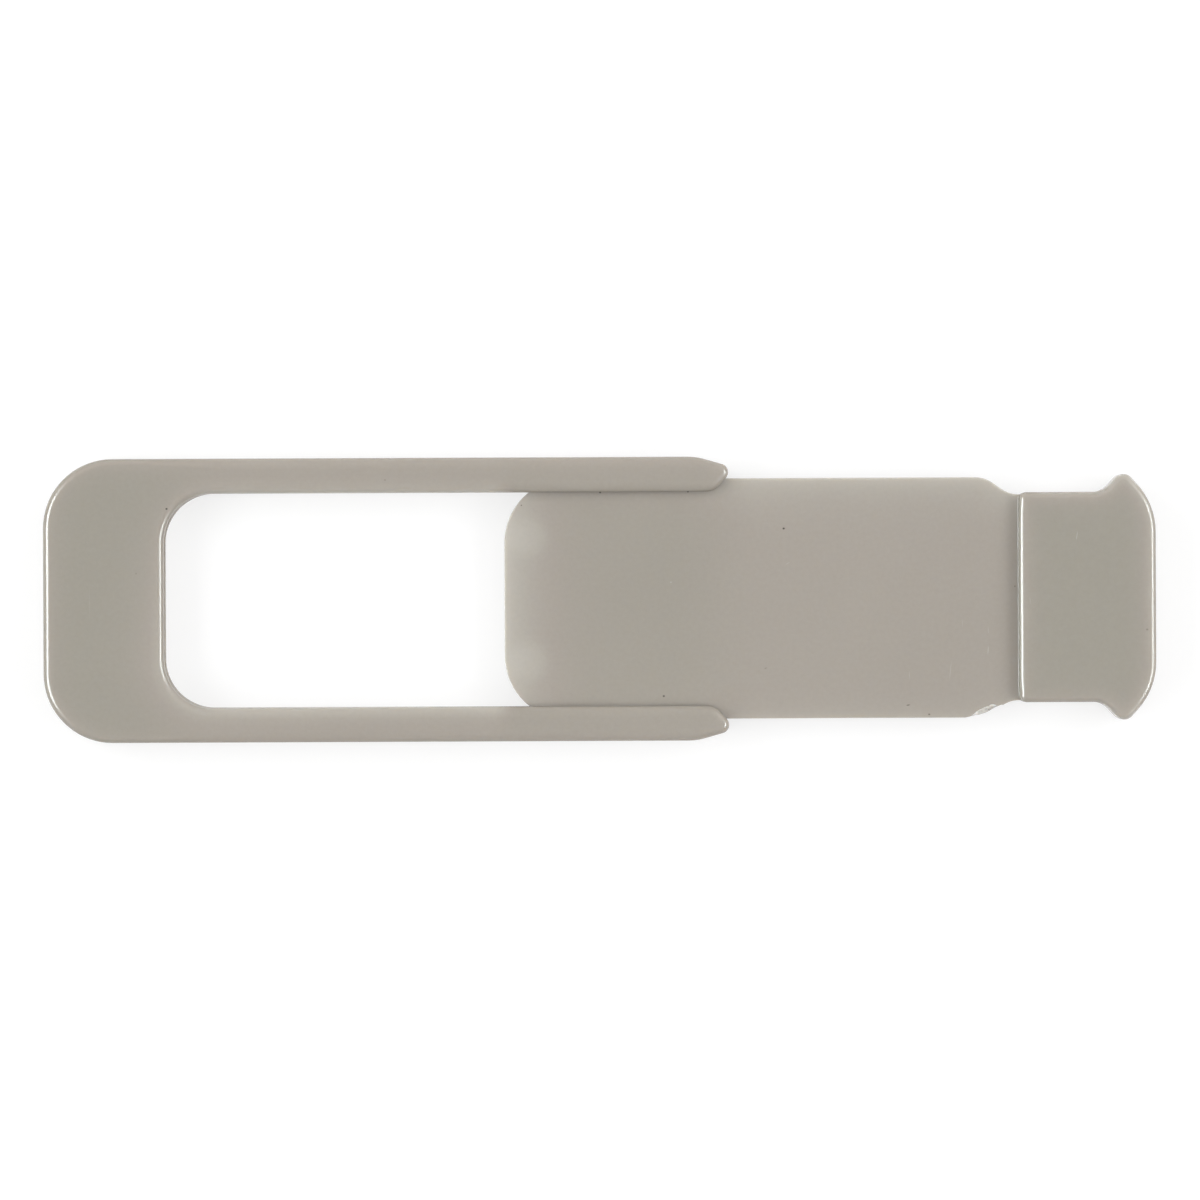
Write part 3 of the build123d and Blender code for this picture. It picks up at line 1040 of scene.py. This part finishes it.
def noPaintedGlow(places):
    return np.zeros(len(places))


def buildTape(material):
    s = tapeShape
    loop = spacedPath(frameOutline(), s["pointSpacing"])
    normals = outwardNormals(loop)
    bm = newShell()
    levels = roundUnder(s["edge"], tapeLow.z, s["edgeSteps"])
    levels += roundOver(s["edge"], tapeHigh.z, s["edgeSteps"])
    rings = [addRing(bm, loop, normals, s["inset"] + shift, z, tilt) for shift, z, tilt in levels]
    addStrips(bm, rings)
    fillFlat(bm, rings[0], False, s["grid"])
    fillFlat(bm, rings[-1], True, s["grid"])
    finishShell(bm, "tape_strip", "frame_body", "adhesive_tape", material, noPaintedGlow)


buildTape(tapeMaterial("tapeAdhesive", tapeFinish))


# floor, light and camera

studio = {
    "floorSize": 3.0,
    "floorDrop": 0.02 * mm,     # a hair under the tape
    "floorTone": (0.8, 0.8, 0.8, 1),
    "seenFloorTone": (0.32, 0.32, 0.32, 1),
    "seenFloorLift": 0.71,      # with the lit tone, this makes the floor white and its shadows light
    "skyLevel": 0.25,           # plain part of the sky's light
    "skyLean": (0.0, 0.3, 0.5),  # more of it from above and from +Y
    "boxDistance": 0.32,
    "boxHeight": 40,            # degrees above the floor
    "boxSize": (0.16, 0.44),
    "stripHeight": 34,
    "stripSize": (0.12, 0.26),
    "stripTint": (0.90, 1.0, 0.99),
    "leftPower": 0.62,
    "rightPower": 0.54,
    "leftGloss": 2.1,
    "rightGloss": 1.38,
}


def whiteRays(tree):
    rays = tree.nodes.new("ShaderNodeLightPath")  # what the camera, mirrors and glass see
    seen = mathNode(tree, "MAXIMUM", rays.outputs["Is Camera Ray"], rays.outputs["Is Glossy Ray"])
    return mathNode(tree, "MAXIMUM", seen, rays.outputs["Is Transmission Ray"])


def buildFloor():
    half, z = studio["floorSize"] / 2, -studio["floorDrop"]
    corners = [(-half, -half, z), (half, -half, z), (half, half, z), (-half, half, z)]
    mesh = bpy.data.meshes.new("floor")
    mesh.from_pydata(corners, [], [(0, 1, 2, 3)])
    floor = bpy.data.objects.new("floor", mesh)
    bpy.context.scene.collection.objects.link(floor)
    material = bpy.data.materials.new("paleFloor")
    material.use_nodes = True
    tree = material.node_tree
    tree.nodes.remove(tree.nodes["Principled BSDF"])
    matt = tree.nodes.new("ShaderNodeBsdfDiffuse")
    seen = whiteRays(tree)
    tree.links.new(mixColor(tree, seen, studio["floorTone"], studio["seenFloorTone"]), matt.inputs["Color"])
    lift = tree.nodes.new("ShaderNodeEmission")
    tree.links.new(mathNode(tree, "MULTIPLY", seen, studio["seenFloorLift"]), lift.inputs["Strength"])
    both = tree.nodes.new("ShaderNodeAddShader")
    tree.links.new(matt.outputs[0], both.inputs[0])
    tree.links.new(lift.outputs[0], both.inputs[1])
    tree.links.new(both.outputs[0], tree.nodes["Material Output"].inputs["Surface"])
    mesh.materials.append(material)


def buildSky():
    world = bpy.data.worlds.new("studioSky")
    world.use_nodes = True
    tree = world.node_tree
    background = tree.nodes["Background"]
    background.inputs["Color"].default_value = (1, 1, 1, 1)
    lean = tree.nodes.new("ShaderNodeVectorMath")
    lean.operation = "DOT_PRODUCT"
    lean.inputs[1].default_value = studio["skyLean"]
    tree.links.new(tree.nodes.new("ShaderNodeTexCoord").outputs["Generated"], lean.inputs[0])
    light = mathNode(tree, "MAXIMUM", mathNode(tree, "ADD", lean.outputs["Value"], studio["skyLevel"]), 0.0)
    seen = whiteRays(tree)
    unseen = mathNode(tree, "MULTIPLY", mathNode(tree, "SUBTRACT", 1.0, seen), light)
    tree.links.new(mathNode(tree, "ADD", unseen, seen), background.inputs["Strength"])
    bpy.context.scene.world = world


def addLamp(name, side, size, height, power):
    lamp = bpy.data.lights.new(name, "AREA")
    lamp.shape = "RECTANGLE"
    lamp.size, lamp.size_y = size
    lamp.energy = power
    box = bpy.data.objects.new(name, lamp)
    rise = radians(height)
    box.location = Vector((side * cos(rise), 0, sin(rise))) * studio["boxDistance"]
    box.rotation_euler = (0, side * (pi / 2 - rise), 0)
    bpy.context.scene.collection.objects.link(box)
    return box


def buildLamps():
    s = studio
    for side, name in ((-1, "left"), (1, "right")):
        addLamp(name + "Softbox", side, s["boxSize"], s["boxHeight"], s[name + "Power"])
        strip = addLamp(name + "Strip", side, s["stripSize"], s["stripHeight"], s[name + "Gloss"])
        strip.visible_diffuse = False  # seen only as the line along rounded edges
        strip.data.color = s["stripTint"]


photo = {
    "side": 1200,               # pixels
    "objectSpan": 1113.8,       # pixels from end to end
    "objectCentre": (599.5, 599.0),
    "roll": -0.25,              # degrees the picture is turned
    "cameraHeight": 0.315,
    "sensorWidth": 36.0,
}


def buildCamera():
    pixel = (cadBox[1].x - cadBox[0].x) / photo["objectSpan"]
    middle = photo["side"] / 2
    x, y = photo["objectCentre"]
    data = bpy.data.cameras.new("camera")
    data.sensor_width = photo["sensorWidth"]
    data.lens = data.sensor_width * photo["cameraHeight"] / (photo["side"] * pixel)
    camera = bpy.data.objects.new("camera", data)
    camera.location = ((middle - x) * pixel, (y - middle) * pixel, photo["cameraHeight"] + frameHigh.z)
    camera.rotation_euler.z = radians(photo["roll"])
    bpy.context.scene.collection.objects.link(camera)
    bpy.context.scene.camera = camera


buildFloor()
buildSky()
buildLamps()
buildCamera()
bpy.context.scene.view_settings.view_transform = "Standard"
print("stage, light and camera set")
